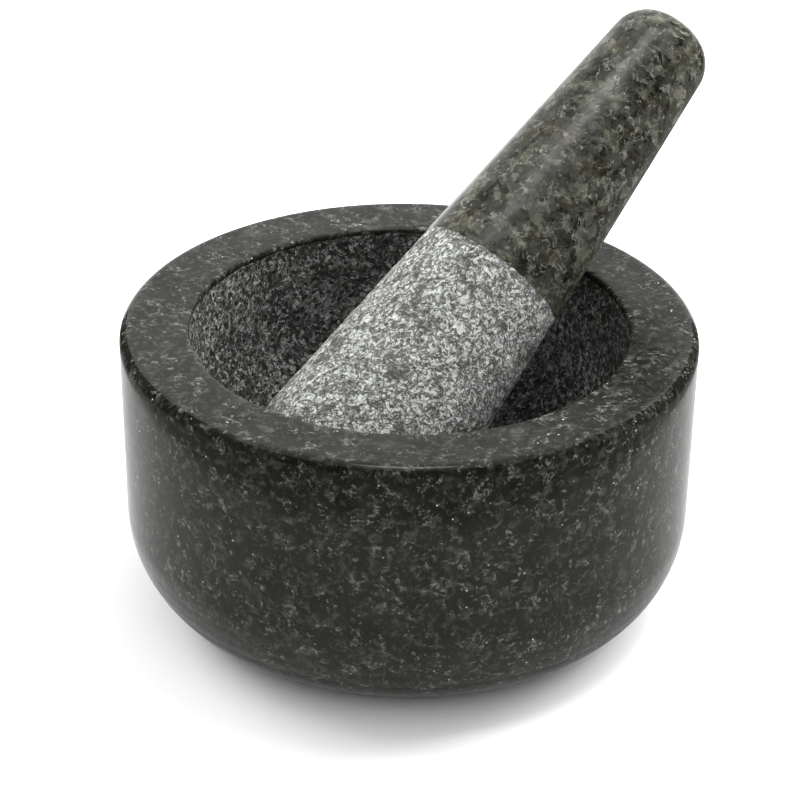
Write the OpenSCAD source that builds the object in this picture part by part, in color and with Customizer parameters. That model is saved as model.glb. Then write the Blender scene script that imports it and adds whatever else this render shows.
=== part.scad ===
/* Stone mortar and pestle (molcajete with its tejolote).
   Two solid stones: a round bowl with a flat foot, and a tapered round pestle that leans in it.
   Lengths are millimetres and angles are degrees, +Z is up, and the origin is the centre of the
   bowl's flat foot. */

/* [Bowl] */

// Largest outside diameter of the bowl, just under its rim
bowl_d = 150; // [130:1:190]
// Height from the foot to the flat top of the rim
bowl_h = 78.5; // [74:0.5:92]
// Diameter of the mouth, where the flat top of the rim drops into the cavity
mouth_d = 114; // [104:1:118]
// Depth of the cavity at its middle, below the top of the rim
cavity_depth = 57; // [52:1:60]
// Radius of the rounded corner between the cavity's wall and its floor
cavity_round = 38; // [32:1:42]
// How far the cavity's wall leans inwards on its way down
cavity_lean = 2.5; // [0:0.5:5]
// Radius of the polished outer edge of the rim
rim_round = 2.8; // [1:0.2:5]
// Radius of the slightly broken inner edge of the rim
mouth_round = 0.8; // [0.4:0.1:1.5]
// How far the outside wall leans inwards on its way down
wall_lean = 1.5; // [0:0.5:3]
// Radius of the rounding that turns the outside wall under, towards the foot
under_round = 31.5; // [24:0.5:34]
// How much of that rounding the flat foot grinds away
foot_cut = 2.5; // [1:0.5:4]

/* [Pestle] */

// Overall length of the pestle
pestle_l = 167; // [150:1:185]
// Diameter of the taper at the handle end, before the end is rounded
handle_d = 26.2; // [22:0.2:30]
// Half-angle of the straight taper that widens from the handle to the grinding head
taper = 5; // [4:0.25:5.5]
// Corner radius of the handle end
handle_round = 10; // [4:0.5:10]
// Corner radius of the grinding head
head_round = 17; // [12:0.5:18]
// Radius of the shallow dome on either end
dome_round = 70; // [50:5:120]

/* [Resting place] */

// Angle of the pestle's axis above the horizontal
rest_angle = 35.5; // [34:0.5:38]
// Direction in which the handle leans out of the bowl, turned from +X towards +Y
rest_turn = 45; // [0:1:359]
// Gap left between the pestle and the bowl where the two stones touch
rest_gap = 0.3; // [0.2:0.1:0.6]

/* [Hidden] */

$fn = 96;
bowl_color = [0.20, 0.21, 0.20];
pestle_color = [0.44, 0.45, 0.42];
over = 1;  // overshoot of a cutting shape past the face that it cuts

// A wall leaning inwards by "lean" is the line r * cos(lean) - z * sin(lean) = wall. These give the
// radius of a point on it, and the centre radius of a rounding that is tangent to it from inside.
function wall_r(wall, lean, z) = (wall + z * sin(lean)) / cos(lean);
function round_r(wall, lean, z, radius) = wall_r(wall - radius, lean, z);

// Outside of the bowl
rim_z = bowl_h - rim_round;
rim_r = bowl_d / 2 - rim_round;
outer_wall = rim_r * cos(wall_lean) - rim_z * sin(wall_lean) + rim_round;
under_z = under_round - foot_cut;
under_r = round_r(outer_wall, wall_lean, under_z, under_round);
foot_r = under_r + sqrt(pow(under_round, 2) - pow(under_z, 2));

// Cavity of the bowl
mouth_r = mouth_d / 2;
floor_z = bowl_h - cavity_depth;
corner_z = floor_z + cavity_round;
inner_wall = mouth_r * cos(cavity_lean) - bowl_h * sin(cavity_lean);
corner_r = round_r(inner_wall, cavity_lean, corner_z, cavity_round);

// Pestle, upright on its grinding head. Its taper is a wall leaning inwards on its way up.
tip_r = handle_d / 2 + pestle_l * tan(taper);
taper_wall = tip_r * cos(taper);
// A corner rounding touches both the taper and the dome of its end, at this turn from the horizontal
head_turn = acos((taper_wall - head_round - dome_round * sin(taper)) / (dome_round - head_round)) - taper;
handle_wall = taper_wall - pestle_l * sin(taper);
handle_turn = acos((handle_wall - handle_round + dome_round * sin(taper)) / (dome_round - handle_round))
    + taper;
head_at = [(dome_round - head_round) * cos(head_turn),
           dome_round - (dome_round - head_round) * sin(head_turn)];
handle_at = [(dome_round - handle_round) * cos(handle_turn),
             pestle_l - dome_round + (dome_round - handle_round) * sin(handle_turn)];

// Resting place, worked out in the upright plane through the bowl's axis and the pestle's axis.
// The lowest line of the taper climbs at slope_angle and clears the mouth's edge by rest_gap, so
// the middle of the head's rounding lies on a line through start. The pestle slides down along it.
slope_angle = rest_angle + taper;
slope = [cos(slope_angle), sin(slope_angle)];
away = [-sin(slope_angle), cos(slope_angle)];
start = [mouth_r, bowl_h] + (rest_gap + head_round) * away;
// Sliding down the line until the head meets the flat floor
floor_slide = (floor_z + head_round + rest_gap - start[1]) / slope[1];
// Sliding down the line until the head meets the rounded corner
reach = cavity_round - head_round - rest_gap;
to_corner = start - [-corner_r, corner_z];
along = to_corner * slope;
corner_slide = -along - sqrt(pow(along, 2) - to_corner * to_corner + pow(reach, 2));
meets_floor = start[0] + floor_slide * slope[0] > -corner_r;
head_rest = start + (meets_floor ? floor_slide : corner_slide) * slope;
// From the middle of the head's rounding back to the tip of the pestle's axis
tip_rest = head_rest - [head_at[1] * cos(rest_angle) + head_at[0] * sin(rest_angle),
                        head_at[1] * sin(rest_angle) - head_at[0] * cos(rest_angle)];

// A circle somewhere in the half-plane of a revolved profile
module disc(at, radius) {
    translate(at)
        circle(r = radius);
}

// Outer profile of the bowl: foot, rounded underside, leaning wall, rounded rim
module bowl_profile() {
    intersection() {
        union() {
            polygon([
                [0, 0],
                [foot_r, 0],
                [under_r, under_z],
                [under_r, under_z] + under_round * [cos(wall_lean), -sin(wall_lean)],
                [rim_r, rim_z] + rim_round * [cos(wall_lean), -sin(wall_lean)],
                [rim_r, rim_z],
                [rim_r, bowl_h],
                [0, bowl_h]
            ]);
            disc([under_r, under_z], under_round);
            disc([rim_r, rim_z], rim_round);
        }
        square([bowl_d, bowl_h]);
    }
}

// Profile of the cavity: leaning wall, rounded corner and a small flat floor
module cavity_profile() {
    polygon([
        [0, floor_z],
        [corner_r, floor_z],
        [corner_r, corner_z],
        [corner_r, corner_z] + cavity_round * [cos(cavity_lean), -sin(cavity_lean)],
        [mouth_r, bowl_h],
        [mouth_r, bowl_h + over],
        [0, bowl_h + over]
    ]);
    intersection() {
        disc([corner_r, corner_z], cavity_round);
        square([mouth_r, bowl_h]);
    }
}

// The small corner of stone that the broken inner edge takes off the mouth
module mouth_edge_profile() {
    difference() {
        translate([mouth_r - over, bowl_h - mouth_round])
            square([over + mouth_round, mouth_round + over]);
        disc([mouth_r + mouth_round, bowl_h - mouth_round], mouth_round);
    }
}

module bowl() {
    color(bowl_color)
        rotate_extrude()
            difference() {
                bowl_profile();
                cavity_profile();
                mouth_edge_profile();
            }
}

// Profile of one domed end, out to the rounding that joins it to the taper
module dome_profile(middle_z, at) {
    intersection() {
        disc([0, middle_z], dome_round);
        polygon([
            [0, middle_z],
            [0, middle_z < at[1] ? pestle_l + over : -over],
            at + (at - [0, middle_z]),
            at
        ]);
    }
}

// Half profile of the pestle standing on its head
module pestle_profile() {
    intersection() {
        union() {
            disc(head_at, head_round);
            disc(handle_at, handle_round);
            polygon([
                [0, head_at[1]],
                head_at,
                head_at + head_round * [cos(taper), sin(taper)],
                handle_at + handle_round * [cos(taper), sin(taper)],
                handle_at,
                [0, handle_at[1]]
            ]);
            dome_profile(dome_round, head_at);
            dome_profile(pestle_l - dome_round, handle_at);
        }
        square([tip_r + over, pestle_l]);
    }
}

module pestle() {
    color(pestle_color)
        rotate([0, 0, rest_turn])
            translate([tip_rest[0], 0, tip_rest[1]])
                rotate([0, 90 - rest_angle, 0])
                    rotate_extrude()
                        pestle_profile();
}

bowl();
pestle();
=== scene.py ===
"""Looks for a granite mortar and pestle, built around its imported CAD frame.

Lengths are metres in the frame's own axes: +Z up, the front towards -Y, the origin at the middle of the
bowl's foot.
Each stone is one turned mesh with its ground relief in the geometry and its minerals in a node material.
"""
import math
import bpy
import numpy as np
from mathutils import Matrix, Vector, noise


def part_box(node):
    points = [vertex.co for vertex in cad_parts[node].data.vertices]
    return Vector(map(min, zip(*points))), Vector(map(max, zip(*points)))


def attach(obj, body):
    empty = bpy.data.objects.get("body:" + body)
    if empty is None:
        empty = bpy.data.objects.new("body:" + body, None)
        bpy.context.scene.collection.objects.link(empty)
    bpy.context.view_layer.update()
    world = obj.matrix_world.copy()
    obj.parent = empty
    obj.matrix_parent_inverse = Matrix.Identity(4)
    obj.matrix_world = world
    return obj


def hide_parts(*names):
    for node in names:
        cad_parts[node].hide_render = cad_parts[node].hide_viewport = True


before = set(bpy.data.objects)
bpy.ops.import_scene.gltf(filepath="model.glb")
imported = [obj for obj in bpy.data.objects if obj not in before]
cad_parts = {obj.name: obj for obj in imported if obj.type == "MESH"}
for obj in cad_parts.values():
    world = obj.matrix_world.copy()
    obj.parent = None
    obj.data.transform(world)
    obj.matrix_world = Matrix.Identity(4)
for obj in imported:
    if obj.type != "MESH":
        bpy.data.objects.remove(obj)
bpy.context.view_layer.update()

MM = 0.001

# ---------------------------------------------------------------- sizes, as in the CAD model
bowl_low, bowl_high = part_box("bowl")
pestle_low, pestle_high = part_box("pestle")
BOWL_R = (bowl_high.x - bowl_low.x) / 2
BOWL_H = bowl_high.z
MOUTH_R = 57 * MM
CAVITY_DEPTH = 57 * MM
CAVITY_ROUND = 38 * MM
CAVITY_LEAN = math.radians(2.5)
RIM_ROUND = 2.8 * MM
MOUTH_ROUND = 0.8 * MM
WALL_LEAN = math.radians(1.5)
UNDER_ROUND = 31.5 * MM
FOOT_CUT = 2.5 * MM
POLISHED_BAND = 1.4 * MM  # how far the polish runs down inside the mouth

PESTLE_L = 167 * MM
HANDLE_END_R = 13.1 * MM
TAPER = math.radians(5)
HANDLE_ROUND = 10 * MM
HEAD_ROUND = 17 * MM
DOME_ROUND = 70 * MM
GRIP_L = 86.5 * MM  # how much of the pestle is polished, from the handle's end
REST_ANGLE = math.radians(35.5)
REST_TURN = math.radians(45)

# ---------------------------------------------------------------- turned profiles


def line(a, b, steps):
    """Points from a towards b, without b itself."""
    return [(a[0] + (b[0] - a[0]) * i / steps, a[1] + (b[1] - a[1]) * i / steps) for i in range(steps)]


def arc(centre, radius, start, end, steps):
    """Points on a circle from the start angle towards the end angle, in radians, without the last."""
    turns = [start + (end - start) * i / steps for i in range(steps)]
    return [(centre[0] + radius * math.cos(t), centre[1] + radius * math.sin(t)) for t in turns]


def round_r(wall, lean, z, radius):
    """Centre radius of a rounding inside the leaning wall r cos(lean) - z sin(lean) = wall."""
    return (wall - radius + z * math.sin(lean)) / math.cos(lean)


def bowl_profile():
    """Half outline of the bowl, from the middle of its foot to the middle of its cavity."""
    rim = (BOWL_R - RIM_ROUND, BOWL_H - RIM_ROUND)
    outer = rim[0] * math.cos(WALL_LEAN) - rim[1] * math.sin(WALL_LEAN) + RIM_ROUND
    under_z = UNDER_ROUND - FOOT_CUT
    under = (round_r(outer, WALL_LEAN, under_z, UNDER_ROUND), under_z)
    foot_turn = -math.asin(under_z / UNDER_ROUND)
    foot_r = under[0] + UNDER_ROUND * math.cos(foot_turn)
    floor_z = BOWL_H - CAVITY_DEPTH
    inner = MOUTH_R * math.cos(CAVITY_LEAN) - BOWL_H * math.sin(CAVITY_LEAN)
    corner_z = floor_z + CAVITY_ROUND
    corner = (round_r(inner, CAVITY_LEAN, corner_z, CAVITY_ROUND), corner_z)
    mouth = (MOUTH_R + MOUTH_ROUND, BOWL_H - MOUTH_ROUND)
    half_turn = math.pi / 2
    wall_low = arc(under, UNDER_ROUND, -WALL_LEAN, 0, 1)[0]
    wall_high = arc(rim, RIM_ROUND, -WALL_LEAN, 0, 1)[0]
    cavity_high = (MOUTH_R, BOWL_H - MOUTH_ROUND)
    cavity_low = arc(corner, CAVITY_ROUND, -CAVITY_LEAN, 0, 1)[0]
    band_low = (MOUTH_R, BOWL_H - POLISHED_BAND)
    return [
        ("foot", line((0, 0), (foot_r - 0.6 * MM, 0), 14)),
        ("foot", line((foot_r - 0.6 * MM, 0), (foot_r, 0), 2)),
        ("wall", arc(under, UNDER_ROUND, foot_turn, -WALL_LEAN, 26)),
        ("wall", line(wall_low, wall_high, 22)),
        ("wall", arc(rim, RIM_ROUND, -WALL_LEAN, half_turn, 12)),
        ("rim", line((rim[0], BOWL_H), (mouth[0], BOWL_H), 12)),
        ("rim", arc(mouth, MOUTH_ROUND, half_turn, math.pi, 4)),
        ("cavity", line(cavity_high, band_low, 3)),
        ("cavity", line(band_low, cavity_low, 24)),
        ("cavity", arc(corner, CAVITY_ROUND, -CAVITY_LEAN, -half_turn, 72)),
        ("cavity", line((corner[0], floor_z), (0, floor_z), 14)),
        ("cavity", [(0, floor_z)]),
    ]


def pestle_profile():
    """Half outline of the pestle standing on its head, from that tip to the tip of the handle."""
    wall = (HANDLE_END_R + PESTLE_L * math.tan(TAPER)) * math.cos(TAPER)
    top_wall = wall - PESTLE_L * math.sin(TAPER)
    head_reach = DOME_ROUND - HEAD_ROUND
    head_turn = math.acos((wall - HEAD_ROUND - DOME_ROUND * math.sin(TAPER)) / head_reach) - TAPER
    handle_reach = DOME_ROUND - HANDLE_ROUND
    handle_turn = math.acos((top_wall - HANDLE_ROUND + DOME_ROUND * math.sin(TAPER)) / handle_reach) + TAPER
    head = (head_reach * math.cos(head_turn), DOME_ROUND - head_reach * math.sin(head_turn))
    handle_z = PESTLE_L - DOME_ROUND + handle_reach * math.sin(handle_turn)
    handle = (handle_reach * math.cos(handle_turn), handle_z)
    low = arc(head, HEAD_ROUND, TAPER, 0, 1)[0]
    high = arc(handle, HANDLE_ROUND, TAPER, 0, 1)[0]
    grip_z = PESTLE_L - GRIP_L
    edge = (low[0] + (high[0] - low[0]) * (grip_z - low[1]) / (high[1] - low[1]), grip_z)
    half_turn = math.pi / 2
    return [
        ("stone", arc((0, DOME_ROUND), DOME_ROUND, -half_turn, -head_turn, 18)),
        ("stone", arc(head, HEAD_ROUND, -head_turn, TAPER, 46)),
        ("stone", line(low, edge, 112)),
        ("stone", line(edge, high, 70)),
        ("stone", arc(handle, HANDLE_ROUND, TAPER, handle_turn, 16)),
        ("stone", arc((0, PESTLE_L - DOME_ROUND), DOME_ROUND, handle_turn, half_turn, 5)),
        ("stone", [(0, PESTLE_L)]),
    ]


def turned(name, profile, segments, materials):
    """One closed mesh turned from a profile whose first and last points lie on the axis."""
    points = [p for _, stretch in profile for p in stretch]
    labels = [label for label, stretch in profile for _ in stretch]
    slots = list(materials)
    turns = np.linspace(0, 2 * math.pi, segments, endpoint=False)
    around = np.column_stack([np.cos(turns), np.sin(turns), np.zeros(segments)])
    rings = [r * around + (0, 0, z) for r, z in points[1:-1]]
    verts = np.vstack([[(0, 0, points[0][1])], *rings, [(0, 0, points[-1][1])]])
    last = len(verts) - 1
    faces, indices = [], []
    for i in range(segments):
        faces.append((0, 1 + (i + 1) % segments, 1 + i))
        indices.append(slots.index(labels[0]))
    for row in range(len(rings) - 1):
        base, above = 1 + row * segments, 1 + (row + 1) * segments
        slot = slots.index(labels[row + 1])
        for i in range(segments):
            j = (i + 1) % segments
            faces.append((base + i, base + j, above + j, above + i))
            indices.append(slot)
    base = 1 + (len(rings) - 1) * segments
    for i in range(segments):
        faces.append((base + i, base + (i + 1) % segments, last))
        indices.append(slots.index(labels[-1]))
    mesh = bpy.data.meshes.new(name)
    mesh.from_pydata(verts.tolist(), [], faces)
    for material in materials.values():
        mesh.materials.append(material)
    mesh.polygons.foreach_set("material_index", indices)
    mesh.polygons.foreach_set("use_smooth", [True] * len(faces))
    mesh.update()
    piece = bpy.data.objects.new(name, mesh)
    bpy.context.scene.collection.objects.link(piece)
    return piece


def coordinates(mesh, what="co"):
    values = np.empty(len(mesh.vertices) * 3)
    if what == "co":
        mesh.vertices.foreach_get("co", values)
    else:
        mesh.vertex_normals.foreach_get("vector", values)
    return values.reshape(-1, 3)


def carve(piece, depth_of):
    """Moves each vertex along its normal by depth_of(position), and keeps the surface closed."""
    mesh = piece.data
    places, normals = coordinates(mesh), coordinates(mesh, "normal")
    depths = np.array([depth_of(Vector(p)) for p in places])
    mesh.vertices.foreach_set("co", (places + normals * depths[:, None]).ravel())
    mesh.update()


def set_attribute(piece, name, values):
    piece.data.attributes.new(name, "FLOAT", "POINT").data.foreach_set("value", values)


def smooth(low, high, value):
    t = min(1, max(0, (value - low) / (high - low)))
    return t * t * (3 - 2 * t)


def ground_relief(p, coarse, fine):
    """Height of stone ground rough by hand: soft hollows, fine grain and small pits."""
    height = coarse * noise.noise(p / (7 * MM))
    height += 0.6 * coarse * noise.noise(p / (3 * MM) + Vector((9, 2, 5)))
    height += fine * noise.noise(p / (1.4 * MM) + Vector((3, 8, 1)))
    pit = noise.voronoi(p / (2.1 * MM))[0][0]
    return height - 1.6 * fine * smooth(0.42, 0.08, pit)


# ---------------------------------------------------------------- node helpers


class Nodes:
    """Adds nodes to a material or world, and links an input given as another node's output."""

    def __init__(self, owner):
        owner.use_nodes = True
        self.tree = owner.node_tree
        self.tree.nodes.clear()

    def add(self, kind, inputs=None, out=0, **settings):
        made = self.tree.nodes.new(kind)
        for key, value in settings.items():
            setattr(made, key, value)
        for key, value in (inputs or {}).items():
            socket = made.inputs[key]
            if isinstance(value, bpy.types.NodeSocket):
                self.tree.links.new(value, socket)
            else:
                socket.default_value = value
        return made.outputs[out]

    def output(self, kind, shader):
        self.tree.links.new(shader, self.tree.nodes.new(kind).inputs["Surface"])

    def cell_value(self, where, size):
        """One random value from 0 to 1 for each cell, about size metres across."""
        cells = self.tree.nodes.new("ShaderNodeTexVoronoi")
        self.tree.links.new(where, cells.inputs["Vector"])
        cells.inputs["Scale"].default_value = 1 / size
        return self.add("ShaderNodeSeparateColor", {0: cells.outputs["Color"]})

    def noise(self, size, detail=2.0, roughness=0.5, distortion=0.0, shift=0.0, vector=None):
        """Fractal noise whose features are about size metres, from 0 to 1."""
        where = vector or self.place
        if shift:
            offset = (shift, shift * 0.7, -shift)
            where = self.add("ShaderNodeVectorMath", {0: where, 1: offset}, operation="ADD")
        settings = {"Scale": 1 / size, "Detail": detail, "Roughness": roughness, "Distortion": distortion}
        return self.add("ShaderNodeTexNoise", {"Vector": where, **settings})

    def math(self, operation, a, b=0.0, clamp=False):
        return self.add("ShaderNodeMath", {0: a, 1: b}, operation=operation, use_clamp=clamp)

    def between(self, value, low, high, to_low=0.0, to_high=1.0):
        """Smooth step from to_low at low to to_high at high."""
        inputs = {"Value": value, "From Min": low, "From Max": high, "To Min": to_low, "To Max": to_high}
        return self.add("ShaderNodeMapRange", inputs, interpolation_type="SMOOTHSTEP")

    def mix(self, factor, a, b):
        """Colour a where factor is 0 and b where it is 1."""
        made = self.tree.nodes.new("ShaderNodeMix")
        made.data_type = "RGBA"
        for key, value in ((0, factor), (6, a), (7, b)):
            if isinstance(value, bpy.types.NodeSocket):
                self.tree.links.new(value, made.inputs[key])
            else:
                made.inputs[key].default_value = value if key == 0 else (*value, 1)
        return made.outputs[2]

    def ramp(self, factor, stops):
        """A colour ramp with stops of (position, colour)."""
        made = self.tree.nodes.new("ShaderNodeValToRGB")
        ramp = made.color_ramp
        while len(ramp.elements) < len(stops):
            ramp.elements.new(0.5)
        for element, (position, colour) in zip(ramp.elements, stops):
            element.position = position
            element.color = (*colour, 1)
        self.tree.links.new(factor, made.inputs[0])
        return made.outputs[0]

    def wisps(self, size, width, amount, shift):
        """Short thin curved marks: stretches of a noise contour, kept where a second noise is high."""
        contour = self.math("ABSOLUTE", self.math("SUBTRACT", self.noise(size, 2.5, 0.6, 0.8, shift), 0.5))
        lines = self.between(contour, 0.0, width, 1.0, 0.0)
        kept = self.between(self.noise(size * 0.9, 1.0, 0.5, 0.0, shift + 0.3), 1 - amount, 1.06 - amount)
        return self.math("MULTIPLY", lines, kept)

    def grains(self, size, share, reach, shift, soft=0.4):
        """Scattered mineral grains: the middles of a share of the cells of a Voronoi pattern."""
        offset = (shift, -shift, shift)
        where = self.add("ShaderNodeVectorMath", {0: self.place, 1: offset}, operation="ADD")
        cell = self.tree.nodes.new("ShaderNodeTexVoronoi")
        self.tree.links.new(where, cell.inputs["Vector"])
        cell.inputs["Scale"].default_value = 1 / size
        spot = self.between(cell.outputs["Distance"], reach * (1 - soft), reach, 1.0, 0.0)
        pick = self.add("ShaderNodeSeparateColor", {0: cell.outputs["Color"]})
        chosen = self.math("GREATER_THAN", pick, 1 - share)
        return self.math("MULTIPLY", spot, chosen)


def stone_material(name):
    """A new material with the object's own coordinates ready, its minerals fixed in the stone."""
    material = bpy.data.materials.new(name)
    nodes = Nodes(material)
    nodes.place = nodes.add("ShaderNodeTexCoord", out=3)
    return material, nodes


def finish_stone(nodes, colour, roughness, height, bump_depth, ior):
    """Joins colour, roughness and relief into a shader. bump_depth is how tall the relief is, in metres."""
    bump = nodes.add("ShaderNodeBump", {"Height": height, "Distance": bump_depth, "Strength": 1.0})
    inputs = {"Base Color": colour, "Roughness": roughness, "Normal": bump, "IOR": ior}
    nodes.output("ShaderNodeOutputMaterial", nodes.add("ShaderNodeBsdfPrincipled", inputs))


def dark_granite(nodes, patchy=0.8, flaky=1.0):
    """Colour of the bowl's stone: near-black, with soft grey patches, pale flakes and a few bright specks."""
    cloud = nodes.noise(9 * MM, 4.0, 0.6)
    colour = nodes.ramp(cloud, [(0.3, (0.0030, 0.0031, 0.0022)), (0.7, (0.0105, 0.0110, 0.0080))])
    patch = nodes.between(nodes.noise(2.6 * MM, 4.0, 0.62, 0.5, 0.21), 0.49, 0.68)
    colour = nodes.mix(nodes.math("MULTIPLY", patch, patchy), colour, (0.034, 0.0355, 0.030))
    gathered = nodes.between(nodes.noise(5 * MM, 2.0, 0.5, 0.0, 0.77), 0.4, 0.62, 0.15, 1.0)
    long_flakes = nodes.wisps(3.8 * MM, 0.07, 0.48, 0.11)
    flakes = nodes.math("MAXIMUM", long_flakes, nodes.wisps(2.0 * MM, 0.08, 0.45, 0.47))
    strength = nodes.between(nodes.noise(1.1 * MM, 1.0, 0.5, 0.0, 0.93), 0.35, 0.7, 0.1, 1.0)
    flakes = nodes.math("MULTIPLY", nodes.math("MULTIPLY", flakes, gathered), strength)
    colour = nodes.mix(nodes.math("MULTIPLY", flakes, flaky, clamp=True), colour, (0.12, 0.123, 0.110))
    specks = nodes.math("MULTIPLY", nodes.grains(1.3 * MM, 0.04, 0.22, 0.31), gathered)
    return nodes.mix(specks, colour, (0.45, 0.45, 0.42)), flakes


def bowl_wall():
    material, nodes = stone_material("polished_dark_granite")
    colour, marks = dark_granite(nodes)
    roughness = nodes.between(nodes.noise(4 * MM, 3.0), 0.3, 0.75, 0.09, 0.16)
    height = nodes.math("ADD", nodes.noise(1.1 * MM, 2.0), nodes.math("MULTIPLY", marks, 0.4))
    finish_stone(nodes, colour, roughness, height, 0.008 * MM, 1.29)
    return material


def bowl_rim():
    material, nodes = stone_material("honed_dark_granite")
    colour, marks = dark_granite(nodes, 0.9, 1.2)
    roughness = nodes.between(nodes.noise(3 * MM, 3.0), 0.3, 0.75, 0.2, 0.34)
    height = nodes.math("ADD", nodes.noise(0.9 * MM, 3.0), nodes.math("MULTIPLY", marks, 0.4))
    finish_stone(nodes, colour, roughness, height, 0.014 * MM, 1.28)
    return material


def bowl_cavity():
    """Polished just inside the mouth, and ground rough below an uneven line."""
    material, nodes = stone_material("ground_dark_granite")
    polished, _ = dark_granite(nodes)
    depth = nodes.add("ShaderNodeAttribute", attribute_name="ground", out=2)
    uneven = nodes.math("MULTIPLY", nodes.math("SUBTRACT", nodes.noise(5 * MM, 3.0), 0.5), 1.8 * MM)
    rough = nodes.between(nodes.math("ADD", depth, uneven), 0.0, 0.35 * MM)
    dust = nodes.noise(1.3 * MM, 4.0, 0.7, 0.4, 0.17)
    stops = [(0.39, (0.010, 0.0105, 0.009)), (0.5, (0.062, 0.064, 0.060)), (0.61, (0.225, 0.23, 0.218))]
    colour = nodes.ramp(dust, stops)
    zones = nodes.between(nodes.noise(9 * MM, 3.0, 0.55, 0.2, 0.53), 0.35, 0.62)
    colour = nodes.mix(nodes.math("MULTIPLY", zones, 0.55), colour, (0.016, 0.017, 0.015))
    worms = nodes.wisps(1.9 * MM, 0.07, 0.52, 0.39)
    colour = nodes.mix(nodes.math("MULTIPLY", worms, 0.85), colour, (0.50, 0.507, 0.49))
    colour = nodes.mix(rough, polished, colour)
    height = nodes.math("ADD", nodes.noise(1.0 * MM, 4.0, 0.65, 0.5), nodes.math("MULTIPLY", worms, 0.4))
    height = nodes.math("MULTIPLY", height, rough)
    roughness = nodes.math("ADD", nodes.math("MULTIPLY", rough, 0.6), 0.2)
    finish_stone(nodes, colour, roughness, height, 0.8 * MM, 1.32)
    return material


def bowl_foot():
    """The flat foot: sawn and rubbed grey, where the polish never reached."""
    material, nodes = stone_material("sawn_dark_granite")
    colour, _ = dark_granite(nodes)
    rub = nodes.between(nodes.noise(6 * MM, 4.0, 0.6, 0.2, 0.23), 0.35, 0.7)
    rubbed = nodes.math("ADD", nodes.math("MULTIPLY", rub, 0.3), 0.3)
    colour = nodes.mix(rubbed, colour, (0.12, 0.122, 0.118))
    roughness = nodes.between(rub, 0.0, 1.0, 0.5, 0.68)
    finish_stone(nodes, colour, roughness, nodes.noise(0.8 * MM, 4.0), 0.08 * MM, 1.4)
    return material


def mottled_colour(nodes):
    """Polished stone of the handle: clouded grey and olive grains, soot patches and pale flakes."""
    bend_settings = {"Vector": nodes.place, "Scale": 1 / (1.6 * MM), "Detail": 4.0}
    bend = nodes.add("ShaderNodeTexNoise", bend_settings, out=1)
    shift = nodes.add("ShaderNodeVectorMath", {0: bend, 1: (0.5, 0.5, 0.5)}, operation="SUBTRACT")
    shift = nodes.add("ShaderNodeVectorMath", {0: shift, "Scale": 4 * MM}, operation="SCALE")
    where = nodes.add("ShaderNodeVectorMath", {0: nodes.place, 1: shift}, operation="ADD")
    pick = nodes.cell_value(where, 3.8 * MM)
    fine_pick = nodes.cell_value(where, 1.9 * MM)
    zones = nodes.noise(9 * MM, 2.0, 0.5, 0.3, 0.13)
    cloud = nodes.noise(2.6 * MM, 5.0, 0.7, 0.6, 0.41)
    grit = nodes.noise(0.8 * MM, 3.0, 0.65, 0.5, 0.91)
    kind = nodes.math("ADD", nodes.math("MULTIPLY", pick, 0.28), nodes.math("MULTIPLY", fine_pick, 0.2))
    for part, share in ((cloud, 0.5), (zones, 0.3), (grit, 0.1)):
        kind = nodes.math("ADD", kind, nodes.math("MULTIPLY", part, share))
    colour = nodes.ramp(
        nodes.math("SUBTRACT", kind, 0.135),
        [
            (0.28, (0.003, 0.003, 0.002)),
            (0.38, (0.010, 0.010, 0.006)),
            (0.45, (0.021, 0.021, 0.014)),
            (0.53, (0.029, 0.030, 0.025)),
            (0.63, (0.047, 0.047, 0.036)),
            (0.76, (0.095, 0.095, 0.072)),
        ],
    )
    olive = nodes.between(nodes.noise(7 * MM, 3.0, 0.6, 0.4, 0.61), 0.52, 0.68)
    colour = nodes.mix(nodes.math("MULTIPLY", olive, 0.5), colour, (0.032, 0.027, 0.013))
    soot = nodes.between(nodes.noise(4.5 * MM, 4.0, 0.65, 0.6, 0.83), 0.54, 0.64)
    colour = nodes.mix(nodes.math("MULTIPLY", soot, 0.7), colour, (0.005, 0.005, 0.004))
    long_flakes = nodes.wisps(4.6 * MM, 0.04, 0.5, 0.19)
    flakes = nodes.math("MAXIMUM", long_flakes, nodes.wisps(2.8 * MM, 0.045, 0.42, 0.57))
    strength = nodes.between(nodes.noise(1.2 * MM, 2.0, 0.5, 0.0, 0.37), 0.35, 0.7, 0.1, 0.7)
    return nodes.mix(nodes.math("MULTIPLY", flakes, strength), colour, (0.22, 0.22, 0.185))


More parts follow.
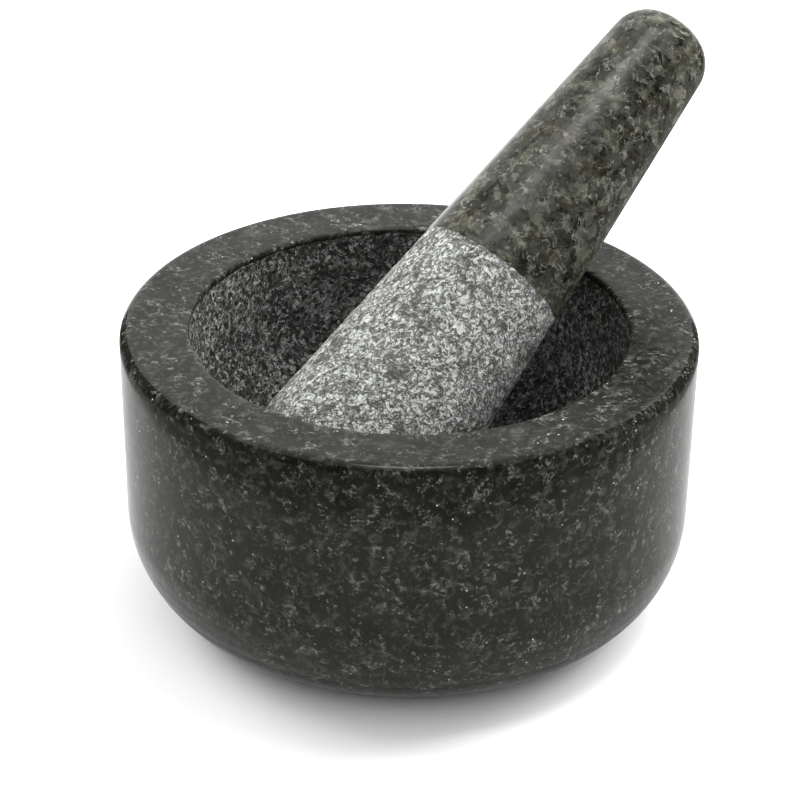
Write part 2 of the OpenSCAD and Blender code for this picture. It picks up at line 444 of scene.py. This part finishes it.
def pestle_stone():
    """Polished mottled granite on the handle, and the same stone ground to a pale rough head."""
    material, nodes = stone_material("mottled_granite")
    colour = mottled_colour(nodes)
    dust = nodes.noise(1.15 * MM, 4.0, 0.7, 0.5, 0.29)
    stops = [(0.36, (0.06, 0.063, 0.057)), (0.48, (0.32, 0.329, 0.318)), (0.62, (0.55, 0.563, 0.55))]
    pale = nodes.ramp(dust, stops)
    pits = nodes.wisps(1.9 * MM, 0.1, 0.66, 0.71)
    pale = nodes.mix(nodes.math("MULTIPLY", pits, 0.85), pale, (0.045, 0.046, 0.040))
    smudges = nodes.between(nodes.noise(5.5 * MM, 4.0, 0.64, 0.6, 0.49), 0.52, 0.62)
    pale = nodes.mix(nodes.math("MULTIPLY", smudges, 0.75), pale, (0.055, 0.056, 0.048))

    along = nodes.add("ShaderNodeAttribute", attribute_name="ground", out=2)
    uneven = nodes.math("MULTIPLY", nodes.math("SUBTRACT", nodes.noise(2.5 * MM, 3.0), 0.5), 1.6 * MM)
    rough = nodes.between(nodes.math("ADD", along, uneven), -0.15 * MM, 0.35 * MM)
    colour = nodes.mix(rough, colour, pale)
    grain = nodes.noise(0.9 * MM, 4.0, 0.65, 0.5)
    height = nodes.math("SUBTRACT", grain, nodes.math("MULTIPLY", pits, 0.5))
    height = nodes.math("MULTIPLY", height, nodes.between(rough, 0.0, 1.0, 0.015, 1.0))
    roughness = nodes.math("ADD", nodes.math("MULTIPLY", rough, 0.54), 0.27)
    finish_stone(nodes, colour, roughness, height, 0.5 * MM, 1.36)
    return material


# ---------------------------------------------------------------- the two stones


def make_bowl():
    materials = {"wall": bowl_wall(), "rim": bowl_rim(), "cavity": bowl_cavity(), "foot": bowl_foot()}
    piece = turned("bowl_stone", bowl_profile(), 480, materials)
    inside_r = MOUTH_R + 0.3 * MM
    rim_inner = MOUTH_R + 4 * MM

    def relief(p):
        r = math.hypot(p.x, p.y)
        hand = 0.05 * MM * noise.noise(p / (26 * MM)) * smooth(0, 4 * MM, p.z)
        if r < inside_r and p.z > 1 * MM:
            deep = smooth(1.2 * MM, 3.2 * MM, BOWL_H - p.z)
            return hand + deep * (ground_relief(p, 0.16 * MM, 0.14 * MM) - 0.25 * MM)
        if r < rim_inner and p.z > BOWL_H - 2 * MM:
            chip = smooth(0.35, 0.75, noise.noise(p / (2.6 * MM) + Vector((4, 4, 4))))
            return hand - 0.35 * MM * chip * smooth(MOUTH_R + 1.6 * MM, MOUTH_R + 0.3 * MM, r)
        return hand

    carve(piece, relief)
    places = coordinates(piece.data)
    inside = np.hypot(places[:, 0], places[:, 1]) < MOUTH_R + MOUTH_ROUND
    depth = np.where(inside & (places[:, 2] > 1 * MM), BOWL_H - POLISHED_BAND - places[:, 2], -5 * MM)
    set_attribute(piece, "ground", depth)
    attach(piece, "bowl")
    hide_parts("bowl")
    return piece


def make_pestle():
    piece = turned("pestle_stone", pestle_profile(), 300, {"stone": pestle_stone()})
    head_top = PESTLE_L - GRIP_L

    def relief(p):
        hand = 0.04 * MM * noise.noise(p / (22 * MM))
        ground = smooth(head_top + 0.3 * MM, head_top - 0.9 * MM, p.z)
        if ground == 0:
            return hand
        return hand + ground * (ground_relief(p, 0.10 * MM, 0.10 * MM) - 0.14 * MM)

    carve(piece, relief)
    set_attribute(piece, "ground", head_top - coordinates(piece.data)[:, 2])
    lean = Matrix.Rotation(math.pi / 2 - REST_ANGLE, 4, "Y")
    piece.data.transform(Matrix.Rotation(REST_TURN, 4, "Z") @ lean)
    places = coordinates(piece.data)
    middle = Vector((places.min(axis=0) + places.max(axis=0)) / 2)
    piece.data.transform(Matrix.Translation((pestle_low + pestle_high) / 2 - middle))
    piece.data.update()
    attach(piece, "pestle")
    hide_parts("pestle")
    return piece


bowl = make_bowl()
pestle = make_pestle()

# ---------------------------------------------------------------- floor, lights and camera

SCREEN_R = 0.33  # how far the dark screens stand from the bowl's axis
RING_LIFT = 0.3 * MM  # how far the rings lie above the floor


def make_floor():
    mesh = bpy.data.meshes.new("floor")
    turns = [2 * math.pi * i / 64 for i in range(64)]
    mesh.from_pydata([(4 * math.cos(t), 4 * math.sin(t), 0) for t in turns], [], [tuple(range(64))])
    material = bpy.data.materials.new("pale_floor")
    nodes = Nodes(material)
    shader = nodes.add("ShaderNodeBsdfPrincipled", {"Base Color": (0.86, 0.86, 0.86, 1), "Roughness": 0.7})
    nodes.output("ShaderNodeOutputMaterial", shader)
    mesh.materials.append(material)
    floor = bpy.data.objects.new("floor", mesh)
    bpy.context.scene.collection.objects.link(floor)


def reflection_sheet(name, verts, faces, radiance):
    """A glowing sheet that only reflections see, a painted reflection of the surroundings: it neither lights
    nor shades anything.
    """
    mesh = bpy.data.meshes.new(name)
    mesh.from_pydata(verts, [], faces)
    material = bpy.data.materials.new(name)
    nodes = Nodes(material)
    shader = nodes.add("ShaderNodeEmission", {"Color": (1, 1, 1, 1), "Strength": radiance})
    nodes.output("ShaderNodeOutputMaterial", shader)
    mesh.materials.append(material)
    sheet = bpy.data.objects.new(name, mesh)
    bpy.context.scene.collection.objects.link(sheet)
    sheet.visible_camera = False
    sheet.visible_diffuse = False
    sheet.visible_transmission = False
    sheet.visible_shadow = False


def band(start, end, steps, inner, outer):
    """A strip between two circles, each a (radius, height), from the start to the end angle in degrees."""
    turns = [math.radians(start + (end - start) * i / steps) for i in range(steps + 1)]
    verts = [(r * math.cos(t), r * math.sin(t), z) for r, z in (inner, outer) for t in turns]
    return verts, [(i, i + 1, steps + 2 + i, steps + 1 + i) for i in range(steps)]


def make_cloths():
    """Dark screens at the front and the sides, graded rings on the floor and a panel overhead, seen only in
    reflections: painted dark reflections, painted floor shade darkest next to the foot, and a painted
    highlight.
    """
    low, high = (SCREEN_R, 2 * MM), (SCREEN_R, 0.55)
    reflection_sheet("front_screen", *band(205, 335, 40, low, high), 0.05)
    reflection_sheet("left_screen", *band(124, 205, 30, low, high), 0.05)
    reflection_sheet("right_screen", *band(-25, 56, 30, low, high), 0.05)
    # Painted shade of the floor as the stone reflects it: glowing rings seen only in reflections, darkest
    # next to the foot, brightest from 0.082 to 0.17 m and darker again beyond.
    edges = (0.060, 0.067, 0.074, 0.082, 0.17, SCREEN_R)
    for i, radiance in enumerate((0.3, 0.55, 0.8, 1.08, 0.3)):
        inner, outer = (edges[i], RING_LIFT), (edges[i + 1], RING_LIFT)
        reflection_sheet(f"floor_ring_{i + 1}", *band(0, 360, 96, inner, outer), radiance)
    # A painted highlight: a bright disc overhead that only reflections see, giving the light line along the
    # rounded outer edge of the rim.
    reflection_sheet("high_panel", *band(0, 360, 48, (0.001, 1.0), (0.16, 1.0)), 8.0)


def make_light(name, place, target, size, radiance):
    """A square soft light of the given radiance, which reflections don't see."""
    data = bpy.data.lights.new(name, "AREA")
    data.shape = "SQUARE"
    data.size = size
    data.energy = radiance * math.pi * size * size
    lamp = bpy.data.objects.new(name, data)
    lamp.location = place
    lamp.rotation_euler = (Vector(target) - Vector(place)).to_track_quat("-Z", "Y").to_euler()
    lamp.visible_camera = False
    lamp.visible_glossy = False
    bpy.context.scene.collection.objects.link(lamp)


def make_world():
    world = bpy.data.worlds.new("pale_room")
    bpy.context.scene.world = world
    nodes = Nodes(world)
    shader = nodes.add("ShaderNodeBackground", {"Color": (1.0, 1.0, 1.0, 1), "Strength": 1.1})
    nodes.output("ShaderNodeOutputWorld", shader)


def make_camera():
    """Looks down from the front at the middle of the bowl, from just over a metre, a little rolled."""
    look_down, roll = math.radians(28.58), math.radians(0.74)
    distance = 1.1
    aim = Vector((-2.2 * MM, 0, BOWL_H - 21.65 * MM))
    forward = Vector((0, math.cos(look_down), -math.sin(look_down)))
    up = Vector((0, math.sin(look_down), math.cos(look_down)))
    right = Vector((1, 0, 0))
    side = right * math.cos(roll) + up * math.sin(roll)
    top = up * math.cos(roll) - right * math.sin(roll)
    data = bpy.data.cameras.new("camera")
    data.sensor_width = 36
    data.lens = 189.6
    data.clip_start, data.clip_end = 0.05, 50
    camera = bpy.data.objects.new("camera", data)
    axes = Matrix((side, top, -forward)).transposed().to_4x4()
    camera.matrix_world = Matrix.Translation(aim - forward * distance) @ axes
    bpy.context.scene.collection.objects.link(camera)
    bpy.context.scene.camera = camera


make_floor()
make_cloths()
make_world()
make_light("key_light", (0.3, 0.2, 1.0), (0, 0, 0.05), 0.5, 14.0)
for side, name, radiance in ((-1, "left_light", 9.5), (1, "right_light", 12.0)):
    make_light(name, (side * 0.74, 0.52, 0.42), (0, 0, 0.02), 0.6, radiance)
make_camera()
bpy.context.scene.view_settings.view_transform = "Standard"
